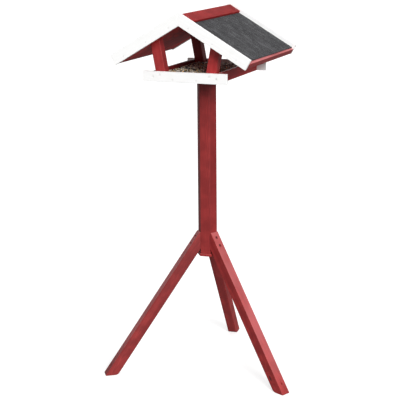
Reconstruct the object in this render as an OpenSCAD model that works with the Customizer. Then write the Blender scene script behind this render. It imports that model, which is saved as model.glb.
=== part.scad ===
// Bird feeder on a pole: an open gabled feeding house with a seed tray,
// carried by a hexagonal pole on three splayed legs.
// Units are millimetres and +Z is up. The origin is on the ground, on the pole's axis.
// -Y is the gabled front of the house and +X is its right side.
// Every board, post, leg and family of fasteners is a node of its own.

/* [Roof] */
// width of the roof across the outer edges of the two eave strips
roof_w = 456; // [420:2:500]
// depth of the roof over the outer faces of the front and back bargeboards
roof_d = 462; // [440:2:500]
// pitch of each slope in degrees
roof_pitch = 30.5; // [28:0.5:34]
// height of the felt surface at the ridge above the ground
roof_z = 1215; // [1204:1:1240]
// thickness of the wooden roof panels
panel_t = 18; // [14:1:20]
// thickness of the roofing felt
felt_t = 2; // [1.5:0.5:3]
// width of each ridge board, measured down the slope
ridge_w = 38; // [32:1:50]
// thickness of each ridge board
ridge_t = 8; // [6:1:10]
// thickness of the strip that closes the lower end of each roof panel
eave_t = 11; // [8:1:13]

/* [Bargeboards] */
// width of each bargeboard, measured square to the slope
barge_h = 36; // [34:1:44]
// thickness of each bargeboard
barge_t = 10; // [8:1:12]
// height by which a bargeboard stands above the felt, square to the slope
barge_proud = 14; // [10:1:16]

/* [Tray] */
// height of the lower edges of the tray boards above the ground
tray_z = 1009; // [990:1:1014]
// length of the front and back boards
board_l = 284; // [264:2:320]
// height of the four tray boards
board_h = 33; // [30:1:40]
// thickness of the four tray boards
board_t = 10; // [8:1:12]
// depth of the tray over the outer faces of the front and back boards
tray_d = 376; // [350:2:396]
// width of the tray over the outer faces of the side boards
tray_w = 224; // [210:2:240]
// thickness of the tray floor
floor_t = 10; // [8:1:12]
// height of the floor's underside above the lower edges of the boards
floor_lift = 4; // [2:1:6]

/* [Posts] */
// side of the square section of the four house posts
post_s = 32; // [28:1:36]
// angle by which each post leans outwards, in degrees
post_lean = 10.5; // [6:0.5:12]

/* [Pole] */
// width of the hexagonal pole across its flats
pole_af = 57; // [54:1:64]
// height of the lower end of the pole above the ground
pole_z = 409; // [400:1:414]
// thickness of the hexagonal plate under the pole
plate_t = 9; // [6:1:12]
// distance by which the plate stands out past each flat of the pole
plate_lip = 3; // [1:1:4]

/* [Legs] */
// height of the flat tops of the legs above the ground
leg_top_z = 483; // [474:1:494]
// distance from the pole's axis to the tip of each foot
leg_reach = 366; // [340:2:400]
// width of each leg, across the direction it points in
leg_w = 32; // [28:1:36]
// thickness of each leg, square to its outer face
leg_h = 36; // [32:1:42]
// depth of the flat top of each leg
leg_crown = 4; // [3:1:6]
// radius of the rounded heel on the inner lower corner of each foot
heel_r = 18; // [12:1:19]
// radius of the rounded tip on the outer lower corner of each foot
toe_r = 2; // [2:1:7]
// angle by which the pole and legs are turned under the house, in degrees
stand_turn = 5.5; // [-6:0.5:6]
// distance of the upright ground peg hole from the tip of the foot, along the ground
peg_inset = 23; // [20:1:27]
// diameter of the ground peg hole in each foot
peg_hole_d = 6; // [5:0.5:8]

/* [Fasteners] */
// radial clearance around each nail and screw
hole_gap = 0.1; // [0.05:0.05:0.2]
// height above the ground of the upper screw in each leg
leg_screw_hi_z = 466; // [462:1:468]
// height above the ground of the lower screw in each leg
leg_screw_lo_z = 442; // [438:1:446]

/* [Hidden] */
$fn = 48;
// distance by which a cutting shape runs past the face that it cuts
overcut = 1;

house_red = [0.60, 0.11, 0.11];
frame_white = [0.93, 0.93, 0.91];
felt_grey = [0.22, 0.22, 0.23];
steel_grey = [0.62, 0.62, 0.60];

// roof: distances s run down the slope and depths d run square to it, below the felt surface
slope_l = roof_w / 2 / cos(roof_pitch);
under_d = felt_t + panel_t;
gable_y = roof_d / 2 - barge_t;
barge_low_d = barge_h - barge_proud;

// tray
rim_z = tray_z + board_h;
floor_z = tray_z + floor_lift;
floor_top_z = floor_z + floor_t;
board_y = tray_d / 2 - board_t;
side_x = tray_w / 2 - board_t;

// posts: the outer face meets the inner top edge of a side board
post_k = tan(post_lean);
post_w = post_s / cos(post_lean);
roof_k = tan(roof_pitch);
under_z = roof_z - under_d / cos(roof_pitch);

// legs: r runs outwards from the pole's axis, in the upright plane of a leg
pole_r = pole_af / 2;
pole_top_z = floor_z;
leg_run = leg_reach - pole_r - leg_crown;
leg_tilt = atan2(leg_run, leg_top_z);
sole_l = leg_h / cos(leg_tilt);
heel_angle = 90 + leg_tilt;
toe_angle = 90 - leg_tilt;
left_leg_az = 210 + stand_turn;
right_leg_az = 330 + stand_turn;
back_leg_az = 90 + stand_turn;

// fastener sizes: [length, shank radius, head radius, head height]
board_screw = [36, 2, 3.5, 2];
floor_nail = [32, 1.2, 2.5, 1];
roof_screw = [46, 2, 4, 2];
barge_nail = [36, 1.2, 2.5, 1];
ridge_nail = [22, 1, 2.2, 1];
eave_nail = [28, 1, 2.2, 1];
tray_screw = [60, 2.5, 5, 3];
plate_screw = [45, 2.5, 5, 3];
leg_head_sink = 8;
leg_shank_r = 2.2;
leg_head_r = 4.2;
leg_head_h = 3;
leg_screw_tip_r = 7;

// fastener places
floor_nail_y = [-120, 0, 120];
floor_nail_x = [-40, 40];
barge_nail_s = [45, 135, 225];
ridge_nail_y = [-180, -60, 60, 180];
eave_nail_y = [-180, -60, 60, 180];
tray_screw_az = [30, 150, 270];
tray_screw_r = 14;

// ---- profiles in the plane of the gable ----

// point at distance s down the right slope and depth d below the felt surface
function slope_pt(s, d) = [
  s * cos(roof_pitch) - d * sin(roof_pitch),
  roof_z - s * sin(roof_pitch) - d * cos(roof_pitch)
];

// point at depth d on the upright plane through the ridge
function ridge_pt(d) = [0, roof_z - d / cos(roof_pitch)];

// x of the outer face of a right-hand post at height z
function post_out_x(z) = side_x + (z - rim_z) * post_k;

// height at which a post line that is dx inside the outer face meets the roof's underside
function post_end_z(dx) = (under_z - roof_k * (side_x - dx - rim_z * post_k)) / (1 + roof_k * post_k);

// a layer of the right slope from the ridge plane down to distance s, between two depths
module ridge_layer(s, d_top, d_low, y0, y1) {
  upright(y0, y1)
    polygon([ridge_pt(d_top), slope_pt(s, d_top), slope_pt(s, d_low), ridge_pt(d_low)]);
}

// stands a gable profile up and gives it the span y0 to y1
module upright(y0, y1) {
  translate([0, y1, 0])
    rotate([90, 0, 0])
      linear_extrude(y1 - y0)
        children();
}

// the same shape on the left side of the house
module left_side() {
  mirror([1, 0, 0])
    children();
}

// the same shape at the back of the house
module back_side() {
  mirror([0, 1, 0])
    children();
}

// the same shapes on both sides of the house
module both_sides() {
  children();
  left_side() children();
}

// the same shapes at the front and at the back
module both_ends() {
  children();
  back_side() children();
}

// ---- fasteners ----

// a nail or screw with its head's outer face at the origin, pointing down
module fastener(size, gap) {
  translate([0, 0, -size[3]])
    cylinder(h = size[3], r = size[2] + gap);
  translate([0, 0, -size[0]])
    cylinder(h = size[0] - size[3], r = size[1] + gap);
}

// screws through the front board into two posts and the ends of the side boards
module front_board_screws(gap) {
  post_z = rim_z - 10;
  end_z = tray_z + board_h / 2;
  both_sides() {
    translate([post_out_x(post_z) - post_w / 2, -tray_d / 2, post_z])
      rotate([90, 0, 0])
        fastener(board_screw, gap);
    translate([side_x + board_t / 2, -tray_d / 2, end_z])
      rotate([90, 0, 0])
        fastener(board_screw, gap);
  }
}

module all_board_screws(gap) {
  both_ends() front_board_screws(gap);
}

// nails through the tray boards into the edges of the floor
module all_floor_nails(gap) {
  nail_z = floor_z + floor_t / 2;
  both_sides()
    for (y = floor_nail_y)
      translate([tray_w / 2, y, nail_z])
        rotate([0, 90, 0])
          fastener(floor_nail, gap);
  both_ends()
    for (x = floor_nail_x)
      translate([x, -tray_d / 2, nail_z])
        rotate([90, 0, 0])
          fastener(floor_nail, gap);
}

// screws through the roof panels into the tops of the posts, under the felt
module all_roof_screws(gap) {
  top_z = post_end_z(post_w / 2);
  top_x = post_out_x(top_z) - post_w / 2;
  s = (top_x + under_d * sin(roof_pitch)) / cos(roof_pitch);
  head = slope_pt(s, felt_t);
  both_ends()
    both_sides()
      translate([head[0], -board_y + post_s / 2, head[1]])
        rotate([0, roof_pitch, 0])
          fastener(roof_screw, gap);
}

// nails through the bargeboards into the ends of the roof panels
module all_barge_nails(gap) {
  both_ends()
    both_sides()
      for (s = barge_nail_s)
        translate([slope_pt(s, under_d - panel_t / 2)[0], -roof_d / 2, slope_pt(s, under_d - panel_t / 2)[1]])
          rotate([90, 0, 0])
            fastener(barge_nail, gap);
}

// nails through the ridge boards and the felt into the roof panels
module all_ridge_nails(gap) {
  head = slope_pt(ridge_w - 14, -ridge_t);
  both_sides()
    for (y = ridge_nail_y)
      translate([head[0], y, head[1]])
        rotate([0, roof_pitch, 0])
          fastener(ridge_nail, gap);
}

// nails through the eave strips into the lower ends of the roof panels,
// with heads that are taller by proud when they are cut out of a strip
module all_eave_nails(gap, proud = 0) {
  head = slope_pt(slope_l, under_d - panel_t / 2);
  both_sides()
    for (y = eave_nail_y)
      translate([head[0], y, head[1]])
        rotate([0, 90 + roof_pitch, 0])
          translate([0, 0, proud])
            fastener(eave_nail + [proud, 0, 0, proud], gap);
}

// screws through the floor into the top of the pole
module all_tray_screws(gap) {
  for (a = tray_screw_az)
    rotate([0, 0, a + stand_turn])
      translate([tray_screw_r, 0, floor_top_z])
        fastener(tray_screw, gap);
}

// screw through the plate into the lower end of the pole
module pole_plate_screw(gap) {
  translate([0, 0, pole_z - plate_t])
    rotate([180, 0, 0])
      fastener(plate_screw, gap);
}

// radius of a leg's outer face at height z
function leg_out_r(z) = leg_reach - z * leg_run / leg_top_z;

// radius at which the head of a leg screw starts, inside the sloping face
function leg_head_start_r(z) = leg_out_r(z) - leg_head_sink;

// level screws that join one leg to the pole
module leg_screw_pair(gap) {
  for (z = [leg_screw_hi_z, leg_screw_lo_z]) {
    translate([leg_head_start_r(z), 0, z])
      rotate([0, 90, 0])
        cylinder(h = leg_head_h, r = leg_head_r + gap);
    translate([leg_screw_tip_r, 0, z])
      rotate([0, 90, 0])
        cylinder(h = leg_head_start_r(z) - leg_screw_tip_r, r = leg_shank_r + gap);
  }
}

// the screws of all three legs
module all_leg_screws(gap) {
  for (a = [left_leg_az, right_leg_az, back_leg_az])
    rotate([0, 0, a])
      leg_screw_pair(gap);
}

// ---- tray ----

module tray_floor() {
  color(house_red)
    difference() {
      translate([-side_x, -board_y, floor_z])
        cube([2 * side_x, 2 * board_y, floor_t]);
      all_tray_screws(hole_gap);
      all_floor_nails(hole_gap);
    }
}

// front board, drilled for its screws and nails
module end_board() {
  difference() {
    translate([-board_l / 2, -tray_d / 2, tray_z])
      cube([board_l, board_t, board_h]);
    all_board_screws(hole_gap);
    all_floor_nails(hole_gap);
  }
}

module front_board() {
  color(frame_white)
    end_board();
}

module back_board() {
  color(frame_white)
    back_side() end_board();
}

// right side board, drilled for its screws and nails
module side_board() {
  difference() {
    translate([side_x, -board_y, tray_z])
      cube([board_t, 2 * board_y, board_h]);
    all_board_screws(hole_gap);
    all_floor_nails(hole_gap);
  }
}

module left_side_board() {
  color(house_red)
    left_side() side_board();
}

module right_side_board() {
  color(house_red)
    side_board();
}

// ---- posts ----

// front right post: it stands on the floor, leans outwards and is cut to the roof's slope
module leaning_post() {
  difference() {
    upright(-board_y, -board_y + post_s)
      polygon([
        [post_out_x(floor_top_z) - post_w, floor_top_z],
        [post_out_x(floor_top_z), floor_top_z],
        [post_out_x(post_end_z(0)), post_end_z(0)],
        [post_out_x(post_end_z(post_w)) - post_w, post_end_z(post_w)]
      ]);
    all_board_screws(hole_gap);
    all_roof_screws(hole_gap);
  }
}

module front_left_post() {
  color(house_red)
    left_side() leaning_post();
}

module front_right_post() {
  color(house_red)
    leaning_post();
}

module back_left_post() {
  color(house_red)
    back_side() left_side() leaning_post();
}

module back_right_post() {
  color(house_red)
    back_side() leaning_post();
}

// ---- roof ----

// right roof panel, drilled for everything that is nailed or screwed to it
module roof_panel() {
  difference() {
    ridge_layer(slope_l - eave_t, felt_t, under_d, -gable_y, gable_y);
    all_roof_screws(hole_gap);
    all_barge_nails(hole_gap);
    all_ridge_nails(hole_gap);
    all_eave_nails(hole_gap);
  }
}

module left_roof_panel() {
  color(house_red)
    left_side() roof_panel();
}

module right_roof_panel() {
  color(house_red)
    roof_panel();
}

// right sheet of felt, pierced by the ridge nails
module felt_sheet() {
  difference() {
    ridge_layer(slope_l - eave_t, 0, felt_t, -gable_y, gable_y);
    all_ridge_nails(hole_gap);
  }
}

module left_roof_felt() {
  color(felt_grey)
    left_side() felt_sheet();
}

module right_roof_felt() {
  color(felt_grey)
    felt_sheet();
}

// right ridge board, mitred against its partner
module ridge_board() {
  difference() {
    ridge_layer(ridge_w, -ridge_t, 0, -gable_y, gable_y);
    all_ridge_nails(hole_gap);
  }
}

module left_ridge_board() {
  color(house_red)
    left_side() ridge_board();
}

module right_ridge_board() {
  color(house_red)
    ridge_board();
}

// strip nailed across the lower end of the right roof panel
module eave_strip() {
  difference() {
    upright(-gable_y, gable_y)
      polygon([
        slope_pt(slope_l - eave_t, felt_t),
        slope_pt(slope_l, felt_t),
        slope_pt(slope_l, under_d),
        slope_pt(slope_l - eave_t, under_d)
      ]);
    all_eave_nails(hole_gap, overcut);
  }
}

module left_eave_strip() {
  color(house_red)
    left_side() eave_strip();
}

module right_eave_strip() {
  color(house_red)
    eave_strip();
}

// front right bargeboard, mitred at the ridge and cut square at its lower end
module bargeboard() {
  difference() {
    ridge_layer(slope_l, -barge_proud, barge_low_d, -roof_d / 2, -gable_y);
    all_barge_nails(hole_gap);
  }
}

module front_left_bargeboard() {
  color(frame_white)
    left_side() bargeboard();
}

module front_right_bargeboard() {
  color(frame_white)
    bargeboard();
}

module back_left_bargeboard() {
  color(frame_white)
    back_side() left_side() bargeboard();
}

module back_right_bargeboard() {
  color(frame_white)
    back_side() bargeboard();
}

// ---- stand ----

// hexagonal prism with one flat facing the direction az
module hexagon_prism(across_flats, h, az) {
  rotate([0, 0, az + 30])
    cylinder(h = h, d = across_flats / cos(30), $fn = 6);
}

module pole() {
  color(house_red)
    difference() {
      translate([0, 0, pole_z])
        hexagon_prism(pole_af, pole_top_z - pole_z, stand_turn + 30);
      all_tray_screws(hole_gap);
      all_leg_screws(hole_gap);
      pole_plate_screw(hole_gap);
    }
}

module base_plate() {
  color(house_red)
    difference() {
      translate([0, 0, pole_z - plate_t])
        hexagon_prism(pole_af + 2 * plate_lip, plate_t, stand_turn + 30);
      pole_plate_screw(hole_gap);
    }
}

// waste outside the fillet of radius r between two edges that leave a corner at an angle,
// reaching past both edges so that no thin flap of the corner is left
module corner_waste(corner, edge_a, edge_b, angle, r) {
  cut = r / tan(angle / 2);
  centre = corner + (edge_a + edge_b) * r / sin(angle);
  difference() {
    polygon([
      corner - overcut * (edge_a + edge_b),
      corner + cut * edge_a - overcut * edge_b,
      corner + cut * edge_a,
      centre,
      corner + cut * edge_b,
      corner + cut * edge_b - overcut * edge_a
    ]);
    translate(centre)
      circle(r);
  }
}

// side view of a leg, with its plumb cut against the pole at the left
module leg_profile() {
  up = [-sin(leg_tilt), cos(leg_tilt)];
  toe = [leg_reach, 0];
  heel = [leg_reach - sole_l, 0];
  inner_z = (heel[0] - pole_r) / tan(leg_tilt);
  difference() {
    polygon([
      [pole_r, leg_top_z],
      [pole_r + leg_crown, leg_top_z],
      toe,
      heel,
      [pole_r, inner_z]
    ]);
    corner_waste(toe, up, [-1, 0], toe_angle, toe_r);
    corner_waste(heel, [1, 0], up, heel_angle, heel_r);
  }
}

// one leg pointing along +X, drilled for its two screws and its ground peg
module leg() {
  difference() {
    upright(-leg_w / 2, leg_w / 2)
      leg_profile();
    leg_screw_pair(hole_gap);
    for (z = [leg_screw_hi_z, leg_screw_lo_z])
      translate([leg_head_start_r(z) + overcut, 0, z])
        rotate([0, 90, 0])
          cylinder(h = leg_h, r = leg_head_r + hole_gap);
    translate([leg_reach - peg_inset, 0, -overcut])
      cylinder(h = 2 * leg_h, d = peg_hole_d);
  }
}

module left_leg() {
  color(house_red)
    rotate([0, 0, left_leg_az])
      leg();
}

module right_leg() {
  color(house_red)
    rotate([0, 0, right_leg_az])
      leg();
}

module back_leg() {
  color(house_red)
    rotate([0, 0, back_leg_az])
      leg();
}

// ---- fastener nodes ----

module board_screws() {
  color(steel_grey)
    all_board_screws(0);
}

module floor_nails() {
  color(steel_grey)
    all_floor_nails(0);
}

module roof_screws() {
  color(steel_grey)
    all_roof_screws(0);
}

module bargeboard_nails() {
  color(steel_grey)
    all_barge_nails(0);
}

module ridge_nails() {
  color(steel_grey)
    all_ridge_nails(0);
}

module eave_nails() {
  color(steel_grey)
    all_eave_nails(0);
}

module tray_screws() {
  color(steel_grey)
    all_tray_screws(0);
}

module base_plate_screw() {
  color(steel_grey)
    pole_plate_screw(0);
}

module leg_screws() {
  color(steel_grey)
    all_leg_screws(0);
}

tray_floor();
front_board();
back_board();
left_side_board();
right_side_board();
front_left_post();
front_right_post();
back_left_post();
back_right_post();
left_roof_panel();
right_roof_panel();
left_roof_felt();
right_roof_felt();
left_ridge_board();
right_ridge_board();
left_eave_strip();
right_eave_strip();
front_left_bargeboard();
front_right_bargeboard();
back_left_bargeboard();
back_right_bargeboard();
pole();
left_leg();
right_leg();
back_leg();
base_plate();
board_screws();
floor_nails();
roof_screws();
bargeboard_nails();
ridge_nails();
eave_nails();
tray_screws();
base_plate_screw();
leg_screws();
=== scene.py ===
"""Bird feeder on a pole: materials, felt, fasteners, seed, light and camera on the CAD frame."""

import math
import random

import bmesh
import bpy
import numpy as np
from mathutils import Matrix, Vector, noise


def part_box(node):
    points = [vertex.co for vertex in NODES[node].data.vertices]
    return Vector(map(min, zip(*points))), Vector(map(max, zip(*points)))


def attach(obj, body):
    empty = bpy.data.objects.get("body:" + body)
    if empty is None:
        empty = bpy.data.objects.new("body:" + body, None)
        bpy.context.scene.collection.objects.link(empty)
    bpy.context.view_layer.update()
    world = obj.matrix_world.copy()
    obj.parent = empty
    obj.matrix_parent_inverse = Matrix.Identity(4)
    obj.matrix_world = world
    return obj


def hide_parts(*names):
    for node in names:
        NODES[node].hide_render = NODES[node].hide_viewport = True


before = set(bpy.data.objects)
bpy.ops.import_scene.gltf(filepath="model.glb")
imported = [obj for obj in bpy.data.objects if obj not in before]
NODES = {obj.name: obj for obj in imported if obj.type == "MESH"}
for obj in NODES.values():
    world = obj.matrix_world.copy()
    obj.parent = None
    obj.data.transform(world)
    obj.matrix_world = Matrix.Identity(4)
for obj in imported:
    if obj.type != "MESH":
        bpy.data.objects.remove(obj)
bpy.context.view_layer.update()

MM = 0.001
# points nearer than this are one point
WELD = 0.001 * MM


# ---- node trees ----

class Tree:
    """Short calls that build one shader node tree."""

    def __init__(self, tree):
        self.tree = tree
        tree.nodes.clear()

    def feed(self, socket, value):
        """Links a socket to another one, or sets its constant."""
        if isinstance(value, bpy.types.NodeSocket):
            self.tree.links.new(value, socket)
        else:
            socket.default_value = value

    def add(self, kind, inputs=None, **settings):
        """A new node with its settings, and its inputs by name or index."""
        made = self.tree.nodes.new("ShaderNode" + kind)
        for name, value in settings.items():
            setattr(made, name, value)
        for name, value in (inputs or {}).items():
            self.feed(made.inputs[name], value)
        return made

    def calc(self, operation, *values):
        """The result of a Math node."""
        return self.add("Math", dict(enumerate(values)), operation=operation).outputs[0]

    def vector(self, operation, *values):
        """The vector result of a Vector Math node."""
        return self.add("VectorMath", dict(enumerate(values)), operation=operation).outputs[0]

    def ramp(self, value, low, high, out_low=0.0, out_high=1.0):
        """A smooth step of value from low to high."""
        made = self.add("MapRange", interpolation_type="SMOOTHSTEP")
        for name, number in zip(("Value", "From Min", "From Max", "To Min", "To Max"),
                                (value, low, high, out_low, out_high)):
            self.feed(made.inputs[name], number)
        return made.outputs[0]

    def mix(self, factor, first, second, blend="MIX"):
        """Two colours mixed by a factor."""
        made = self.add("Mix", data_type="RGBA", blend_type=blend)
        self.feed(made.inputs[0], factor)
        self.feed(made.inputs[6], first)
        self.feed(made.inputs[7], second)
        return made.outputs[2]

    def noise(self, vector, scale, detail=2.0, output="Fac", roughness=0.5):
        """A 3-D noise texture."""
        made = self.add("TexNoise", {"Vector": vector, "Scale": scale, "Detail": detail,
                                     "Roughness": roughness})
        return made.outputs[output]

    def stretch(self, vector, factors):
        """A vector with each part multiplied by its own factor."""
        return self.vector("MULTIPLY", vector, factors)


def rgb(red, green, blue):
    """A colour with full alpha."""
    return (red, green, blue, 1.0)


def new_material(name):
    """A material with an empty tree, its shader and its output."""
    material = bpy.data.materials.new(name)
    material.use_nodes = True
    tree = Tree(material.node_tree)
    shader = tree.add("BsdfPrincipled")
    output = tree.add("OutputMaterial")
    tree.feed(output.inputs["Surface"], shader.outputs[0])
    return material, tree, shader


def set_shader(tree, shader, **values):
    """Feeds the shader's sockets, whose spaces are written as underscores."""
    for name, value in values.items():
        tree.feed(shader.inputs[name.replace("_", " ")], value)


def bump(tree, height, distance, strength):
    """The normal that a height gives."""
    made = tree.add("Bump", {"Height": height, "Distance": distance, "Strength": strength})
    return made.outputs[0]


def new_group(name, ins, outs):
    """A node group with its sockets, its inner tree and its input and output nodes."""
    group = bpy.data.node_groups.new(name, "ShaderNodeTree")
    for socket, kind in ins:
        group.interface.new_socket(socket, in_out="INPUT", socket_type="NodeSocket" + kind)
    for socket in outs:
        group.interface.new_socket(socket, in_out="OUTPUT", socket_type="NodeSocketFloat")
    tree = Tree(group)
    return group, tree, group.nodes.new("NodeGroupInput"), group.nodes.new("NodeGroupOutput")


RING_SPACING = 2.6 * MM
# how far the rings slope against the board, as rise over run
RING_TILT = 0.045
# how far the rings bulge around a knot
RING_BULGE = 6.0 * MM
# places for a knot per metre along and across the grain, and the share of them left empty
KNOT_CELLS = (6.0, 15.0, 15.0)
KNOT_SHARE = 0.62


def knots(tree, grain):
    """How near a point is to a knot, and how far inside one."""
    cells = tree.add("TexVoronoi", {"Vector": tree.stretch(grain, KNOT_CELLS), "Scale": 1.0})
    chance = tree.add("SeparateColor", {0: cells.outputs["Color"]})
    present = tree.ramp(chance.outputs[0], KNOT_SHARE, KNOT_SHARE + 0.04)
    distance = cells.outputs["Distance"]
    near = tree.calc("MULTIPLY", tree.ramp(distance, 0.0, 0.22, 1.0, 0.0), present)
    inside = tree.calc("MULTIPLY", tree.ramp(distance, 0.055, 0.085, 1.0, 0.0), present)
    return near, inside


def softwood_group():
    """Softwood figure in grain space, where x runs along the grain."""
    outs = ("Ring", "Fibre", "Streak", "Knot", "Height")
    group, tree, source, sink = new_group("softwood", [("Grain", "Vector")], outs)
    grain = source.outputs[0]
    near, inside = knots(tree, grain)
    drift = tree.noise(tree.stretch(grain, (2.2, 14.0, 14.0)), 1.0, 2.0, "Color")
    drift = tree.vector("SUBTRACT", drift, (0.5, 0.5, 0.5))
    bent = tree.vector("ADD", grain, tree.stretch(drift, (0.0, 0.016, 0.016)))
    part = tree.add("SeparateXYZ", {0: bent})
    lifted = tree.calc("MULTIPLY_ADD", part.outputs[0], RING_TILT, part.outputs[2])
    radius = tree.calc("SQRT", tree.calc("ADD", tree.calc("POWER", part.outputs[1], 2.0),
                                         tree.calc("POWER", lifted, 2.0)))
    radius = tree.calc("MULTIPLY_ADD", near, RING_BULGE, radius)
    phase = tree.calc("FRACT", tree.calc("DIVIDE", radius, RING_SPACING))
    late = tree.calc("MULTIPLY", tree.ramp(phase, 0.25, 0.85),
                     tree.ramp(phase, 0.88, 1.0, 1.0, 0.0))
    fibre = tree.noise(tree.stretch(grain, (18.0, 900.0, 900.0)), 1.0, 3.0)
    streak = tree.noise(tree.stretch(bent, (2.6, 46.0, 46.0)), 1.0, 3.0)
    height = tree.calc("ADD", tree.calc("MULTIPLY", late, 0.25), tree.calc("MULTIPLY", fibre, 0.5))
    height = tree.calc("ADD", height, inside)
    for name, value in zip(outs, (late, fibre, streak, inside, height)):
        tree.feed(sink.inputs[name], value)
    return group


WEAR_REACH = 2.2 * MM


def edge_group():
    """How worn a point is: high along edges, broken up by noise."""
    group, tree, source, sink = new_group("edge_wear", [("Position", "Vector")], ("Wear",))
    rounded = tree.add("Bevel", {"Radius": WEAR_REACH}, samples=6)
    true = tree.add("NewGeometry")
    facing = tree.add("VectorMath", {0: rounded.outputs[0], 1: true.outputs["Normal"]},
                      operation="DOT_PRODUCT")
    edge = tree.ramp(facing.outputs["Value"], 0.995, 0.90)
    patches = tree.ramp(tree.noise(source.outputs[0], 55.0, 4.0), 0.42, 0.62)
    tree.feed(sink.inputs[0], tree.calc("MULTIPLY", edge, patches))
    return group


SOFTWOOD = softwood_group()
EDGE_WEAR = edge_group()


# ---- wood materials ----

def grain_axes(node):
    """Unit vectors of a wooden node: along its grain, across it and through its thickness."""
    spread = np.zeros((3, 3))
    for face in NODES[node].data.polygons:
        normal = np.array(face.normal)
        spread += face.area * np.outer(normal, normal)
    along, across = np.linalg.eigh(spread)[1].T[:2]
    along = along * np.sign(along[np.argmax(np.abs(along))])
    across = across * np.sign(across[np.argmax(np.abs(across))])
    return [Vector(axis) for axis in (along, across, np.cross(along, across))]


def node_centre(node):
    """The middle of a node's box."""
    low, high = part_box(node)
    return (low + high) / 2


def wood_figure(tree, node, dice):
    """Wires the softwood and edge groups for one node, each cut from another place in a tree."""
    turn = Matrix(grain_axes(node))
    cut = Vector((dice.uniform(-2, 2), dice.uniform(-0.03, 0.03), dice.uniform(0.03, 0.07)))
    spot = tree.add("TexCoord").outputs["Object"]
    mapping = tree.add("Mapping", {"Vector": spot, "Rotation": turn.to_euler(),
                                   "Location": cut - turn @ node_centre(node)})
    figure = tree.add("Group", node_tree=SOFTWOOD)
    tree.feed(figure.inputs[0], mapping.outputs[0])
    wear = tree.add("Group", node_tree=EDGE_WEAR)
    tree.feed(wear.inputs[0], spot)
    return spot, figure.outputs, wear.outputs[0]


def scaled(colour, factor):
    """A colour made lighter or darker."""
    return rgb(*(part * factor for part in colour[:3]))


STAIN_PALE = rgb(0.42, 0.036, 0.034)
STAIN_MID = rgb(0.29, 0.018, 0.019)
STAIN_LATE = rgb(0.145, 0.009, 0.012)
STAIN_KNOT = rgb(0.060, 0.006, 0.007)
STAIN_WORN = rgb(0.52, 0.115, 0.085)
# lighter colour of upward faces: sun-faded stain and a painted sheen of the sky
STAIN_FADED_SHEEN = rgb(0.66, 0.200, 0.205)
STAIN_GREYED = rgb(0.22, 0.12, 0.115)


def fading_and_sheen(tree, spot, amount):
    """How faded a point is, by sun fading and a painted sheen of the sky: most on faces that look
    up, patchy, and less next to the ground.
    """
    up = tree.add("SeparateXYZ", {0: tree.add("NewGeometry").outputs["True Normal"]})
    patchy = tree.ramp(tree.noise(spot, 9.0, 3.0), 0.30, 0.60, 0.55, 1.0)
    sheen_faded = tree.calc("MULTIPLY", tree.ramp(up.outputs[2], 0.35, 0.55, 0.0, amount), patchy)
    height = tree.add("SeparateXYZ", {0: spot}).outputs[2]
    return tree.calc("MULTIPLY", sheen_faded, tree.ramp(height, 0.0, 0.13, 0.1, 1.0))


def stained_wood(node, dice, look):
    """Red stain over softwood."""
    material, tree, shader = new_material("stain_" + node)
    spot, figure, wear = wood_figure(tree, node, dice)
    tone = look.tone * dice.uniform(0.95, 1.05)
    colour = tree.mix(tree.ramp(figure["Streak"], 0.30, 0.70),
                      scaled(STAIN_MID, tone), scaled(STAIN_PALE, tone))
    colour = tree.mix(tree.calc("MULTIPLY", figure["Ring"], 0.42), colour, scaled(STAIN_LATE, tone))
    colour = tree.mix(tree.ramp(figure["Fibre"], 0.52, 0.72, 0.0, 0.35), colour, STAIN_LATE)
    blotch = tree.ramp(tree.noise(spot, 24.0, 3.0), 0.38, 0.64, 0.0, 0.55)
    colour = tree.mix(blotch, colour, scaled(STAIN_MID, 0.68 * tone))
    colour = tree.mix(tree.calc("MULTIPLY", figure["Knot"], 0.85), colour, STAIN_KNOT)
    if look.grey:
        colour = tree.mix(look.grey, colour, STAIN_GREYED)
    # upward faces lighter: sun-faded stain and a painted sheen of the sky
    if look.fade:
        colour = tree.mix(fading_and_sheen(tree, spot, look.fade), colour, STAIN_FADED_SHEEN)
    colour = tree.mix(tree.calc("MULTIPLY", wear, 0.55), colour, STAIN_WORN)
    rough = tree.calc("MULTIPLY_ADD", figure["Streak"], 0.16, 0.40)
    rough = tree.calc("MULTIPLY_ADD", wear, 0.18, rough)
    set_shader(tree, shader, Base_Color=colour, Roughness=rough,
               Specular_IOR_Level=look.gloss, IOR=look.ior,
               Normal=bump(tree, figure["Height"], 0.12 * MM, 0.7))
    return material


PAINT = rgb(0.95, 0.95, 0.945)
PAINT_THIN = rgb(0.905, 0.900, 0.880)
PAINT_KNOT = rgb(0.84, 0.80, 0.70)
PAINT_WORN = rgb(0.66, 0.60, 0.52)
PAINT_GRIME = rgb(0.74, 0.74, 0.70)


def painted_wood(node, dice):
    """White paint over softwood, whose grain and knots show through faintly."""
    material, tree, shader = new_material("paint_" + node)
    spot, figure, wear = wood_figure(tree, node, dice)
    colour = tree.mix(tree.calc("MULTIPLY", figure["Ring"], 0.35), PAINT, PAINT_THIN)
    colour = tree.mix(tree.calc("MULTIPLY", figure["Knot"], 0.25), colour, PAINT_KNOT)
    grime = tree.ramp(tree.noise(spot, 30.0, 5.0), 0.52, 0.75, 0.0, 0.14)
    colour = tree.mix(grime, colour, PAINT_GRIME)
    colour = tree.mix(tree.calc("MULTIPLY", wear, 0.28), colour, PAINT_WORN)
    rough = tree.calc("MULTIPLY_ADD", figure["Fibre"], 0.22, 0.30)
    set_shader(tree, shader, Base_Color=colour, Roughness=rough, Specular_IOR_Level=0.45,
               Normal=bump(tree, figure["Fibre"], 0.04 * MM, 0.5))
    return material


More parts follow.
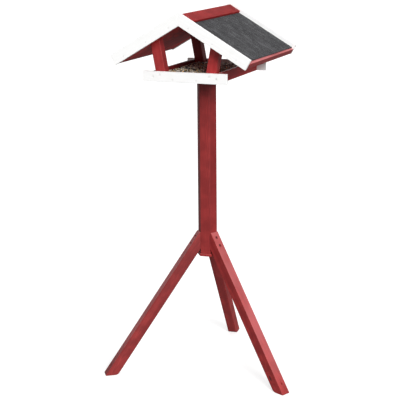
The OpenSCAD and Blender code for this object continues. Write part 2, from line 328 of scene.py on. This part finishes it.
def round_edges(node, width):
    """Joins the node's split corners, rounds its edges and keeps its flat faces flat."""
    piece = NODES[node]
    piece.data.polygons.foreach_set("use_smooth", [True] * len(piece.data.polygons))
    weld = piece.modifiers.new("weld", "WELD")
    weld.merge_threshold = WELD
    flat = piece.modifiers.new("flat", "DECIMATE")
    flat.decimate_type = "DISSOLVE"
    flat.angle_limit = math.radians(0.5)
    bevel = piece.modifiers.new("round", "BEVEL")
    bevel.width = width
    bevel.segments = 3
    bevel.limit_method = "ANGLE"
    bevel.angle_limit = math.radians(25)
    bevel.use_clamp_overlap = False
    bevel.loop_slide = False
    piece.modifiers.new("shade", "WEIGHTED_NORMAL")


def finish_wood(node, material, width):
    """Gives a CAD node its material and rounded edges."""
    piece = NODES[node]
    piece.data.materials.clear()
    piece.data.materials.append(material)
    round_edges(node, width)


def sides(name):
    """The left and right nodes of that name."""
    return [side + "_" + name for side in ("left", "right")]


def corners(name):
    """The four nodes of that name, one at each corner of the house."""
    return [end + "_" + node for end in ("front", "back") for node in sides(name)]


class Look:
    """How one stained piece looks: its tone, which on some pieces also holds painted light or
    shade, the lightening of its upward faces by sun fading and a painted sheen, its grey and gloss.
    """

    def __init__(self, tone, fade=0.0, grey=0.0, gloss=0.42, ior=1.5):
        self.tone, self.fade, self.grey = tone, fade, grey
        self.gloss, self.ior = gloss, ior


def stained_looks():
    """The look of every stained node."""
    looks = {
        "pole": Look(0.82),
        "base_plate": Look(0.95, fade=0.4),
        "tray_floor": Look(0.7, grey=0.2),
        "front_left_post": Look(1.02),
        # tone raised to offset the roof's shade on this post: painted light
        "front_right_post": Look(1.38),
        "back_left_post": Look(0.95),
        "back_right_post": Look(0.95),
        # tone lowered for the shade inside the tray: painted shade
        "left_side_board": Look(0.55, gloss=0.2),
        # tone raised to offset the shade under the roof overhang: painted light
        "right_side_board": Look(1.65, gloss=0.2),
    }
    pairs = {
        "roof_panel": Look(1.65, gloss=0.1, ior=1.25),
        "ridge_board": Look(0.95, gloss=0.1, ior=1.2),
        # the eave strips' upward faces take a strong painted sheen of the sky, with sun fading
        "eave_strip": Look(1.0, fade=0.72),
    }
    for name, look in pairs.items():
        looks.update({node: look for node in sides(name)})
    looks.update({
        # legs: upward faces lightened by sun fading and a painted sheen of the sky
        "left_leg": Look(0.70, fade=0.42),
        "right_leg": Look(1.02, fade=0.42),
        "back_leg": Look(0.92, fade=0.60),
    })
    return looks


PAINTED_EDGE = 1.0 * MM
STAINED_EDGE = 1.3 * MM
LEG_EDGE = 0.9 * MM


def finish_all_wood():
    """Stain and paint on every wooden node."""
    dice = random.Random(11)
    for node in ["front_board", "back_board"] + corners("bargeboard"):
        finish_wood(node, painted_wood(node, dice), PAINTED_EDGE)
    for node, look in stained_looks().items():
        width = LEG_EDGE if node.endswith("leg") else STAINED_EDGE
        finish_wood(node, stained_wood(node, dice, look), width)


# ---- meshes ----

def show(name, mesh, material):
    """An object that holds a mesh and rides on the body."""
    mesh.materials.append(material)
    piece = bpy.data.objects.new(name, mesh)
    bpy.context.scene.collection.objects.link(piece)
    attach(piece, "root")
    return piece


def new_piece(name, points, faces, material):
    """An object made from points and faces."""
    mesh = bpy.data.meshes.new(name)
    mesh.from_pydata([tuple(p) for p in points], [], faces)
    mesh.validate()
    return show(name, mesh, material)


def slab_faces(rows, columns):
    """The faces of a closed slab: a grid of points row by row, its copy under it, and the sides."""
    width = columns + 1
    count = (rows + 1) * width
    faces = []
    for row in range(rows):
        for column in range(columns):
            a = row * width + column
            faces.append((a, a + 1, a + width + 1, a + width))
            faces.append(tuple(count + k for k in (a, a + width, a + width + 1, a + 1)))
    rim = list(range(columns)) + [row * width + columns for row in range(rows)]
    rim += [rows * width + column for column in range(columns, 0, -1)]
    rim += [row * width for row in range(rows, 0, -1)]
    for a, b in zip(rim, rim[1:] + rim[:1]):
        faces.append((a, count + a, count + b, b))
    return faces


def fix_normals(piece):
    """Turns every face of a closed piece outwards."""
    mesh = bmesh.new()
    mesh.from_mesh(piece.data)
    bmesh.ops.recalc_face_normals(mesh, faces=mesh.faces)
    mesh.to_mesh(piece.data)
    mesh.free()


def smooth(piece, angle_deg):
    """Shades a piece smooth except over sharp edges."""
    piece.data.shade_smooth()
    piece.data.set_sharp_from_angle(angle=math.radians(angle_deg))


# ---- roofing felt ----

FELT_DARK = rgb(0.024, 0.024, 0.027)
FELT_LIGHT = rgb(0.112, 0.112, 0.117)
FELT_GLINT = rgb(0.34, 0.34, 0.35)
FELT_TAR = rgb(0.012, 0.012, 0.013)
FELT_CLOUD = rgb(0.062, 0.061, 0.067)
FELT_DUST = rgb(0.165, 0.165, 0.172)
FELT_WORN = rgb(0.022, 0.022, 0.024)
FELT_BALD = rgb(0.026, 0.026, 0.028)


def felt_material(dice):
    """Mineral-faced bitumen felt: grey granules on black, with worn and dusty patches."""
    material, tree, shader = new_material("roofing_felt")
    spot = tree.add("TexCoord").outputs["Object"]
    spot = tree.vector("ADD", spot, (dice.random(), dice.random(), dice.random()))
    grains = tree.add("TexVoronoi", {"Vector": spot, "Scale": 820.0})
    shade = tree.add("SeparateColor", {0: grains.outputs["Color"]}).outputs[0]
    colour = tree.mix(shade, FELT_DARK, FELT_LIGHT)
    glint = tree.ramp(shade, 0.93, 0.97, 0.0, 0.7)
    colour = tree.mix(glint, colour, FELT_GLINT)
    gaps = tree.ramp(grains.outputs["Distance"], 0.45, 0.75, 0.0, 0.75)
    colour = tree.mix(gaps, colour, FELT_TAR)
    clouds = tree.ramp(tree.noise(spot, 26.0, 5.0, roughness=0.65), 0.32, 0.68)
    colour = tree.mix(tree.calc("MULTIPLY", clouds, 0.45), colour, FELT_CLOUD)
    brushed = tree.noise(tree.stretch(spot, (20.0, 62.0, 20.0)), 1.0, 3.0)
    colour = tree.mix(tree.ramp(brushed, 0.52, 0.68, 0.0, 0.32), colour, FELT_DUST)
    colour = tree.mix(tree.ramp(brushed, 0.48, 0.30, 0.0, 0.50), colour, FELT_WORN)
    bald = tree.ramp(tree.noise(spot, 70.0, 4.0), 0.54, 0.68, 0.0, 0.7)
    colour = tree.mix(bald, colour, FELT_BALD)
    height = tree.calc("SUBTRACT", 1.0, grains.outputs["Distance"])
    set_shader(tree, shader, Base_Color=colour, Roughness=0.93, Specular_IOR_Level=0.25,
               Normal=bump(tree, height, 0.45 * MM, 0.9))
    return material


# size of a cell of the sheet's mesh
FELT_CELL = 4.0 * MM
# how short of each bargeboard the sheet stops
FELT_GAP = 0.25 * MM
# how far below the ridge line the sheet starts
FELT_MITRE = 1.6 * MM
# the stretch that the ridge board holds flat, and the one over which the waves grow below it
FELT_HELD = 38 * MM
FELT_LOOSENING = 30 * MM
# mean height of the waves
FELT_LIFT = 0.9 * MM
# mean length by which the lower edge runs on past the eave
FELT_OVERHANG = 1.9 * MM


def ripple(along, down, seed):
    """Slow waves of the felt, from -1 to 1."""
    return noise.noise(Vector((along * 9.0, down * 13.0, seed)))


def ragged(along, half_length, seed):
    """How far the lower edge runs on at one place: askew, and not cut quite straight."""
    jitter = noise.noise(Vector((along * 11.0, seed * 3.1, 0.0)))
    return FELT_OVERHANG * (1.0 + 0.8 * along / half_length + 0.5 * jitter)


def span(points, axis):
    """The lowest and highest place of some points along an axis."""
    places = points @ np.array(axis)
    return places.min(), places.max()


def felt_sheet(side, material, seed):
    """One sheet of felt, lifted by slow waves, with an uneven lower edge."""
    node = side + "_roof_felt"
    along, slope, _ = grain_axes(node)
    if slope.z > 0:
        slope = -slope
    out = along.cross(slope)
    if out.z < 0:
        out = -out
    solid = np.array([v.co for v in NODES[node].data.vertices])
    low, high = span(solid, slope)
    start, stop = span(solid, along)
    bottom, top = span(solid, out)
    rows = round((high - low) / FELT_CELL)
    columns = round((stop - start) / FELT_CELL)

    def place(i, j, level):
        """A point of the sheet, on its upper or lower face."""
        y = start + FELT_GAP + (stop - start - 2 * FELT_GAP) * j / columns
        cut = ragged(y, stop, seed)
        s = FELT_MITRE + (high + cut - low - FELT_MITRE) * i / rows
        free = min(1.0, max(0.0, (s - FELT_HELD) / FELT_LOOSENING))
        lift = free * FELT_LIFT * (1.0 + ripple(y, s, seed))
        return slope * (low + s) + along * y + out * (level + lift)

    points = [place(i, j, level) for level in (top, bottom)
              for i in range(rows + 1) for j in range(columns + 1)]
    piece = new_piece(side + "_felt_sheet", points, slab_faces(rows, columns), material)
    fix_normals(piece)
    smooth(piece, 40)
    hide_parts(node)


# ---- nails and screws ----

def steel_material():
    """Zinc-plated steel, slightly stained."""
    material, tree, shader = new_material("zinc_steel")
    spot = tree.add("TexCoord").outputs["Object"]
    spangle = tree.add("TexVoronoi", {"Vector": spot, "Scale": 900.0}).outputs["Color"]
    shade = tree.add("SeparateColor", {0: spangle}).outputs[0]
    colour = tree.mix(shade, rgb(0.46, 0.46, 0.45), rgb(0.66, 0.66, 0.64))
    rust = tree.ramp(tree.noise(spot, 420.0, 4.0), 0.58, 0.74, 0.0, 0.6)
    colour = tree.mix(rust, colour, rgb(0.20, 0.095, 0.045))
    rough = tree.calc("MULTIPLY_ADD", rust, 0.5, 0.34)
    set_shader(tree, shader, Base_Color=colour, Metallic=0.9, Roughness=rough,
               Normal=bump(tree, tree.noise(spot, 1500.0, 3.0), 0.03 * MM, 0.6))
    return material


def coated_steel(name, coat, bare):
    """Steel heads covered by the same paint or stain as the wood, thin at the rims."""
    material, tree, shader = new_material(name)
    spot = tree.add("TexCoord").outputs["Object"]
    patches = tree.ramp(tree.noise(spot, 520.0, 4.0), 0.56, 0.70, 0.0, 0.5)
    colour = tree.mix(patches, coat, bare)
    rough = tree.calc("MULTIPLY_ADD", patches, 0.25, 0.36)
    set_shader(tree, shader, Base_Color=colour, Roughness=rough,
               Normal=bump(tree, tree.noise(spot, 900.0, 3.0), 0.05 * MM, 0.7))
    return material


def shells(node):
    """The points of each separate solid of a CAD node."""
    mesh = bmesh.new()
    mesh.from_mesh(NODES[node].data)
    bmesh.ops.remove_doubles(mesh, verts=mesh.verts, dist=WELD)
    left = set(mesh.verts)
    while left:
        stack = [next(v for v in mesh.verts if v in left)]
        left.discard(stack[0])
        found = []
        while stack:
            vert = stack.pop()
            found.append(tuple(vert.co))
            for edge in vert.link_edges:
                other = edge.other_vert(vert)
                if other in left:
                    left.discard(other)
                    stack.append(other)
        yield np.array(found)
    mesh.free()


class Fastener:
    """Where one CAD nail or screw lies, and its sizes, measured from its solid."""

    def __init__(self, points):
        centre = points.mean(0)
        axis = np.linalg.eigh(np.cov((points - centre).T))[1][:, 2]
        along = (points - centre) @ axis
        reach = np.linalg.norm(points - centre - np.outer(along, axis), axis=1)
        if along[np.argmax(reach)] < 0:
            axis, along = -axis, -along
        self.out = Vector(axis)
        self.face = Vector(centre + axis * along.max())
        self.length = float(np.ptp(along))
        self.head_r = float(reach.max())
        self.head_h = float(np.ptp(along[reach > 0.98 * self.head_r]))
        self.shank_r = float(reach[along < along.min() + 0.1 * MM].max())

    def place(self):
        """The matrix that puts a head's face at the origin, with +Z out of it, in its place."""
        return Matrix.Translation(self.face) @ self.out.to_track_quat("Z", "X").to_matrix().to_4x4()


def ring(mesh, radius, z, count, wave=None):
    """A ring of points about the Z axis. A wave gives each point its own share of the radius."""
    made = []
    for k in range(count):
        angle = 2 * math.pi * k / count
        r = radius * wave(k / count) if wave else radius
        made.append(mesh.verts.new((r * math.cos(angle), r * math.sin(angle), z)))
    return made


def skin(mesh, rings):
    """Quads between rings of equal count."""
    for upper, lower in zip(rings, rings[1:]):
        for k in range(len(upper)):
            n = (k + 1) % len(upper)
            mesh.faces.new((upper[k], lower[k], lower[n], upper[n]))


def cap(mesh, loop, point):
    """A fan from a ring to a point."""
    tip = mesh.verts.new(point)
    for k in range(len(loop)):
        mesh.faces.new((loop[k], tip, loop[(k + 1) % len(loop)]))


def cross_outline(size, half_slot):
    """The twelve corners of a cross recess."""
    quarter = [(size, -half_slot), (size, half_slot), (half_slot, half_slot)]
    outline = []
    for turn in range(4):
        c, s = round(math.cos(turn * math.pi / 2)), round(math.sin(turn * math.pi / 2))
        outline += [(c * x - s * y, s * x + c * y) for x, y in quarter]
    return outline


HEAD_SIDES = 24
THREAD_PITCH = 1.8 * MM
# rings of points per turn of the thread
THREAD_STEPS = 4
# length of a screw's smooth point
POINT_LENGTH = 5.0 * MM
# how far a fastener's tip stays inside its CAD solid
TIP_GAP = 0.02 * MM


def screw_shape(mesh, fastener):
    """A countersunk screw with a cross recess, a thread and a point."""
    r, h, shank, length = fastener.head_r, fastener.head_h, fastener.shank_r, fastener.length
    rim = ring(mesh, r * 0.93, 0.0, HEAD_SIDES)
    mouth = cross_outline(0.60 * r, 0.13 * r)
    cross = [mesh.verts.new((x, y, -0.02 * h)) for x, y in mouth]
    floor = [mesh.verts.new((0.45 * x, 0.45 * y, -0.75 * h)) for x, y in mouth]
    loops = [mesh.edges.new((loop[k], loop[(k + 1) % len(loop)]))
             for loop in (rim, cross) for k in range(len(loop))]
    bmesh.ops.triangle_fill(mesh, edges=loops, use_beauty=True, use_dissolve=False)
    skin(mesh, [cross, floor])
    mesh.faces.new(floor)
    outline = [rim, ring(mesh, r, -0.12 * h, HEAD_SIDES),
               ring(mesh, shank * 1.05, -h, HEAD_SIDES)]
    outline.append(ring(mesh, shank * 0.82, -h - 1.2 * MM, HEAD_SIDES))
    turns = (length - h - POINT_LENGTH) / THREAD_PITCH
    for k in range(int(turns * THREAD_STEPS) + 1):
        z = -h - 1.6 * MM - k * THREAD_PITCH / THREAD_STEPS

        def crest(angle, k=k):
            """The thread's height where it passes this ring."""
            phase = (k / THREAD_STEPS + angle) % 1.0
            return 0.72 + 0.26 * max(0.0, 1.0 - 4.0 * abs(phase - 0.5))

        outline.append(ring(mesh, shank, z, HEAD_SIDES, wave=crest))
    skin(mesh, outline)
    cap(mesh, outline[-1], (0.0, 0.0, -length + TIP_GAP))


def nail_shape(mesh, fastener):
    """A nail with a slightly domed head, gripping rings under it and a cut point."""
    r, h, shank, length = fastener.head_r, fastener.head_h, fastener.shank_r, fastener.length
    outline = [ring(mesh, share * r, z * h, HEAD_SIDES)
               for share, z in ((0.40, -0.01), (0.78, -0.06), (0.95, -0.18), (1.0, -0.40),
                                (0.97, -0.85), (0.60, -1.0))]
    outline.append(ring(mesh, shank * 0.98, -h - 0.2 * MM, HEAD_SIDES))
    for k in range(5):
        z = -h - (1.2 + 0.8 * k) * MM
        outline.append(ring(mesh, shank * 0.98, z, HEAD_SIDES))
        outline.append(ring(mesh, shank * 0.86, z - 0.2 * MM, HEAD_SIDES))
        outline.append(ring(mesh, shank * 0.98, z - 0.5 * MM, HEAD_SIDES))
    outline.append(ring(mesh, shank * 0.98, -length + 2.5 * MM, HEAD_SIDES))
    skin(mesh, outline)
    cap(mesh, outline[-1], (0.0, 0.0, -length + TIP_GAP))
    cap(mesh, list(reversed(outline[0])), (0.0, 0.0, 0.0))


def fasteners(name, node, shape, material, wanted=lambda fastener: True):
    """One piece that holds a detailed nail or screw in the place of each CAD one wanted."""
    mesh = bmesh.new()
    dice = random.Random(name)
    for points in shells(node):
        fastener = Fastener(points)
        if not wanted(fastener):
            continue
        one = bmesh.new()
        shape(one, fastener)
        one.transform(fastener.place() @ Matrix.Rotation(dice.uniform(0, math.pi), 4, "Z"))
        part = bpy.data.meshes.new("part")
        one.to_mesh(part)
        one.free()
        mesh.from_mesh(part)
        bpy.data.meshes.remove(part)
    bmesh.ops.recalc_face_normals(mesh, faces=mesh.faces)
    made = bpy.data.meshes.new(name)
    mesh.to_mesh(made)
    mesh.free()
    piece = show(name, made, material)
    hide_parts(node)
    smooth(piece, 35)


def looks_along_y(fastener):
    """True for a nail through the front or back board."""
    return abs(fastener.out.y) > 0.5


def all_fasteners():
    """Every nail and screw, bare or covered by the finish of the wood around it; the leg screws'
    heads are near black, painted shade of their counterbores.
    """
    steel = steel_material()
    white = coated_steel("painted_steel", rgb(0.86, 0.86, 0.845), rgb(0.62, 0.62, 0.60))
    # painted shade: near-black heads standing for the shade in the leg screws' counterbores
    shade_dark_steel = coated_steel("painted_shade_steel", rgb(0.022, 0.017, 0.017), rgb(0.10, 0.065, 0.055))
    red = coated_steel("stained_steel", rgb(0.24, 0.020, 0.021), rgb(0.13, 0.05, 0.045))
    fasteners("leg_screw_set", "leg_screws", screw_shape, shade_dark_steel)
    fasteners("plate_screw_set", "base_plate_screw", screw_shape, steel)
    fasteners("tray_screw_set", "tray_screws", screw_shape, steel)
    fasteners("roof_screw_set", "roof_screws", screw_shape, steel)
    fasteners("board_screw_set", "board_screws", screw_shape, white)
    fasteners("bargeboard_nail_set", "bargeboard_nails", nail_shape, white)
    fasteners("ridge_nail_set", "ridge_nails", nail_shape, red)
    fasteners("eave_nail_set", "eave_nails", nail_shape, red)
    fasteners("end_floor_nail_set", "floor_nails", nail_shape, white, looks_along_y)
    fasteners("side_floor_nail_set", "floor_nails", nail_shape, red,
              lambda nail: not looks_along_y(nail))


# ---- seed ----

def seed_material():
    """Husks and kernels: each seed's own tint, with fine speckle and creases."""
    material, tree, shader = new_material("bird_seed")
    spot = tree.add("TexCoord").outputs["Object"]
    tint = tree.add("Attribute", attribute_name="tint").outputs["Color"]
    speckle = tree.ramp(tree.noise(spot, 1400.0, 3.0), 0.35, 0.70, 0.72, 1.12)
    grey = tree.add("CombineColor", {0: speckle, 1: speckle, 2: speckle}).outputs[0]
    colour = tree.mix(1.0, tint, grey, "MULTIPLY")
    set_shader(tree, shader, Base_Color=colour, Roughness=0.58, Specular_IOR_Level=0.35,
               Normal=bump(tree, tree.noise(spot, 1900.0, 3.0), 0.12 * MM, 0.7))
    return material


def bed_material():
    """Crumbs and dust between the seeds."""
    material, tree, shader = new_material("seed_dust")
    spot = tree.add("TexCoord").outputs["Object"]
    crumbs = tree.add("TexVoronoi", {"Vector": spot, "Scale": 420.0})
    shade = tree.add("SeparateColor", {0: crumbs.outputs["Color"]}).outputs[0]
    colour = tree.mix(shade, rgb(0.030, 0.020, 0.012), rgb(0.26, 0.17, 0.085))
    set_shader(tree, shader, Base_Color=colour, Roughness=0.9, Specular_IOR_Level=0.2,
               Normal=bump(tree, crumbs.outputs["Distance"], 1.2 * MM, 1.0))
    return material


# how far the seed stays from the boards around it and above the floor
SEED_GAP = 0.6 * MM
SEED_LIFT = 0.1 * MM
# how far in from the tray floor's edge the posts' inner faces stand
POST_INSET = 37 * MM
# how far the dust between the seeds lies below them
BED_DROP = 1.6 * MM


class Tray:
    """The space inside the tray boards, and the height of the seed in it."""

    def __init__(self):
        self.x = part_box("right_side_board")[0].x - SEED_GAP
        self.y = -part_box("front_board")[1].y - SEED_GAP
        self.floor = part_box("tray_floor")[1].z + SEED_LIFT
        self.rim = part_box("front_board")[1].z
        self.post_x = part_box("tray_floor")[1].x - POST_INSET
        self.post_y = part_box("back_right_post")[0].y

    def level(self, x, y):
        """The height of the heaped seed, always under the rim."""
        slow = noise.noise(Vector((x * 14.0, y * 14.0, 2.0)))
        fine = noise.noise(Vector((x * 60.0, y * 60.0, 5.0)))
        heap = 1.0 - 0.45 * max(abs(x) / self.x, abs(y) / self.y) ** 3
        return self.floor + (11.5 * heap + 2.6 * slow + 0.9 * fine) * MM

    def free(self, x, y, margin):
        """True away from the four posts."""
        return abs(x) < self.post_x - margin or abs(y) < self.post_y - margin


def seed_bed(tray, material):
    """A closed low heap that fills the tray under the loose seeds."""
    columns, rows = 48, 84
    points = []
    for j in range(rows + 1):
        for i in range(columns + 1):
            x, y = tray.x * (2 * i / columns - 1), tray.y * (2 * j / rows - 1)
            points.append((x, y, tray.level(x, y) - BED_DROP))
    points += [(x, y, tray.floor) for x, y, _ in points]
    piece = new_piece("seed_bed", points, slab_faces(rows, columns), material)
    fix_normals(piece)
    smooth(piece, 60)


def seed_template(length, width, thick, taper, sides=8, rings=4):
    """Points, faces and stripes of one seed along X. Taper above 0 makes one end pointed."""
    points = [(-length / 2, 0.0, 0.0)]
    for i in range(1, rings + 1):
        t = i / (rings + 1)
        r = math.sin(math.pi * t) ** 0.75 * (1.0 - taper * (t - 0.35))
        for k in range(sides):
            a = 2 * math.pi * k / sides
            points.append((length * (t - 0.5), r * width / 2 * math.cos(a),
                           r * thick / 2 * math.sin(a)))
    points.append((length / 2, 0.0, 0.0))
    last = len(points) - 1
    faces = [(0, 1 + (k + 1) % sides, 1 + k) for k in range(sides)]
    for i in range(rings - 1):
        a, b = 1 + i * sides, 1 + (i + 1) * sides
        faces += [(a + k, a + (k + 1) % sides, b + (k + 1) % sides, b + k) for k in range(sides)]
    a = 1 + (rings - 1) * sides
    faces += [(a + k, a + (k + 1) % sides, last) for k in range(sides)]
    stripe = np.array([True] + [k % 2 == 1 for k in range(sides)] * rings + [True])
    return np.array(points), faces, stripe


def scatter_seeds(name, tray, material, dice, count, size, taper, colours, stripe_colour=None):
    """Loose seeds of one kind, lying on the heap in every direction."""
    shape, shape_faces, stripe = seed_template(*[s * MM for s in size], taper)
    points, faces, tints = [], [], []
    margin = size[0] / 2 * MM
    while len(points) < count:
        x = dice.uniform(-1, 1) * (tray.x - 0.6 * margin)
        y = dice.uniform(-1, 1) * (tray.y - 0.6 * margin)
        if not tray.free(x, y, 0.5 * margin):
            continue
        big = dice.uniform(0.82, 1.15)
        turn = (Matrix.Rotation(dice.uniform(0, 2 * math.pi), 3, "Z")
                @ Matrix.Rotation(dice.gauss(0, 0.28), 3, "Y")
                @ Matrix.Rotation(dice.uniform(0, 2 * math.pi), 3, "X"))
        z = tray.level(x, y) + dice.uniform(-0.9, 1.1) * MM
        placed = shape @ np.array(turn).T * big + np.array((x, y, z))
        if placed[:, 2].max() > tray.rim - 0.5 * MM:
            continue
        offset = len(points) * len(shape)
        faces += [tuple(offset + k for k in face) for face in shape_faces]
        tint = np.array(dice.choice(colours)) * dice.uniform(0.75, 1.2)
        tint = np.tile(tint, (len(shape), 1))
        if stripe_colour is not None:
            pale = np.array(stripe_colour) * dice.uniform(0.7, 1.1)
            tint = np.where(stripe[:, None], pale, tint)
        points.append(placed)
        tints.append(tint)
    piece = new_piece(name, np.vstack(points), faces, material)
    layer = piece.data.color_attributes.new("tint", "FLOAT_COLOR", "POINT")
    values = np.hstack([np.vstack(tints), np.ones((len(piece.data.vertices), 1))])
    layer.data.foreach_set("color", values.ravel())
    smooth(piece, 80)


def all_seed():
    """A seed mix heaped in the tray."""
    tray, seeds, dice = Tray(), seed_material(), random.Random(5)
    seed_bed(tray, bed_material())
    black = [(0.012, 0.011, 0.012), (0.020, 0.018, 0.018), (0.035, 0.028, 0.024)]
    pale = [(0.78, 0.72, 0.60), (0.84, 0.78, 0.66), (0.66, 0.56, 0.42)]
    scatter_seeds("black_sunflower_seeds", tray, seeds, dice, 620, (9.5, 5.2, 3.6), 0.55, black)
    scatter_seeds("striped_sunflower_seeds", tray, seeds, dice, 420, (11.5, 6.0, 3.8), 0.55,
                  black, (0.74, 0.70, 0.62))
    scatter_seeds("wheat_grains", tray, seeds, dice, 620, (6.6, 3.1, 2.8), 0.1,
                  [(0.62, 0.46, 0.28), (0.70, 0.56, 0.36), (0.48, 0.33, 0.20)])
    scatter_seeds("millet_grains", tray, seeds, dice, 700, (2.6, 2.4, 2.3), 0.0,
                  [(0.66, 0.46, 0.16), (0.60, 0.36, 0.12), (0.72, 0.58, 0.32)])
    scatter_seeds("maize_pieces", tray, seeds, dice, 260, (5.2, 4.4, 3.2), 0.5,
                  [(0.72, 0.36, 0.06), (0.76, 0.46, 0.12)])
    scatter_seeds("peanut_pieces", tray, seeds, dice, 420, (6.8, 5.4, 4.2), 0.2, pale)


# ---- stage, light and camera ----

FLOOR_HALF = 40.0
FLOOR_GLOW = 0.58


def lay_floor():
    """A wide pale floor under the object, which throws no light back at it."""
    material, tree, shader = new_material("floor")
    spot = tree.add("TexCoord").outputs["Object"]
    shade = tree.noise(spot, 3.0, 3.0)
    colour = tree.mix(shade, rgb(0.58, 0.58, 0.578), rgb(0.62, 0.62, 0.618))
    set_shader(tree, shader, Base_Color=colour, Roughness=0.9, Specular_IOR_Level=0.0,
               Emission_Color=rgb(1.0, 1.0, 1.0), Emission_Strength=FLOOR_GLOW)
    corner_signs = ((-1, -1), (1, -1), (1, 1), (-1, 1))
    mesh = bpy.data.meshes.new("floor")
    mesh.from_pydata([(FLOOR_HALF * x, FLOOR_HALF * y, 0) for x, y in corner_signs],
                     [], [(0, 1, 2, 3)])
    mesh.materials.append(material)
    floor = bpy.data.objects.new("floor", mesh)
    bpy.context.scene.collection.objects.link(floor)
    floor.visible_diffuse = False
    floor.visible_glossy = False


def direction(azimuth, elevation):
    """The unit vector to a place seen at that azimuth, from +X towards +Y, and elevation."""
    a, e = math.radians(azimuth), math.radians(elevation)
    return Vector((math.cos(a) * math.cos(e), math.sin(a) * math.cos(e), math.sin(e)))


def soft_sun(name, azimuth, elevation, spread, level):
    """Soft light from one direction. Spread is its width in degrees, level what it gives."""
    light = bpy.data.lights.new(name, "SUN")
    light.angle = math.radians(spread)
    light.energy = level * math.pi
    lamp = bpy.data.objects.new(name, light)
    bpy.context.scene.collection.objects.link(lamp)
    toward = direction(azimuth, elevation)
    lamp.location = toward * 4.0
    lamp.rotation_euler = toward.to_track_quat("Z", "Y").to_euler()


def light_world(sky, ground):
    """Even light from above and less from below, on a white backdrop."""
    world = bpy.data.worlds.new("studio")
    bpy.context.scene.world = world
    world.use_nodes = True
    tree = Tree(world.node_tree)
    height = tree.add("SeparateXYZ", {0: tree.add("TexCoord").outputs["Generated"]}).outputs[2]
    strength = tree.ramp(height, -0.25, 0.35, ground, sky)
    seen = tree.add("LightPath").outputs["Is Camera Ray"]
    strength = tree.calc("MAXIMUM", strength, seen)
    back = tree.add("Background", {"Color": rgb(1.0, 1.0, 1.0), "Strength": strength})
    output = tree.add("OutputWorld")
    tree.feed(output.inputs["Surface"], back.outputs[0])


def light_studio():
    """Soft light from the front right and above, with weak light from behind."""
    light_world(sky=0.42, ground=0.24)
    soft_sun("key", azimuth=311.0, elevation=23.0, spread=24.0, level=1.06)
    soft_sun("top", azimuth=0.0, elevation=85.0, spread=50.0, level=0.12)
    soft_sun("back", azimuth=120.0, elevation=30.0, spread=50.0, level=0.20)


# the camera's place in metres, its turns in degrees and its lens in millimetres
CAMERA_PLACE = (1.36509, -3.40912, 1.49902)
CAMERA_AZIMUTH = 22.212
CAMERA_PITCH = 13.911
CAMERA_ROLL = 0.518
CAMERA_LENS = 101.29


def set_camera():
    """The camera, a little above the roof, to the right of the front."""
    data = bpy.data.cameras.new("camera")
    data.lens = CAMERA_LENS
    data.sensor_width = 36.0
    camera = bpy.data.objects.new("camera", data)
    bpy.context.scene.collection.objects.link(camera)
    bpy.context.scene.camera = camera
    turn = (Matrix.Rotation(math.radians(CAMERA_AZIMUTH), 4, "Z")
            @ Matrix.Rotation(math.radians(90 - CAMERA_PITCH), 4, "X")
            @ Matrix.Rotation(math.radians(-CAMERA_ROLL), 4, "Z"))
    camera.matrix_world = Matrix.Translation(CAMERA_PLACE) @ turn
    data.clip_start, data.clip_end = 0.1, 100.0


def set_colours():
    """Colours as they are, with no film curve."""
    view = bpy.context.scene.view_settings
    view.view_transform = "Standard"
    view.look = "None"
    view.exposure = 0.0
    view.gamma = 1.0


set_camera()
set_colours()
light_studio()
lay_floor()
finish_all_wood()
felt = felt_material(random.Random(3))
felt_sheet("left", felt, 1.3)
felt_sheet("right", felt, 7.9)
all_fasteners()
all_seed()
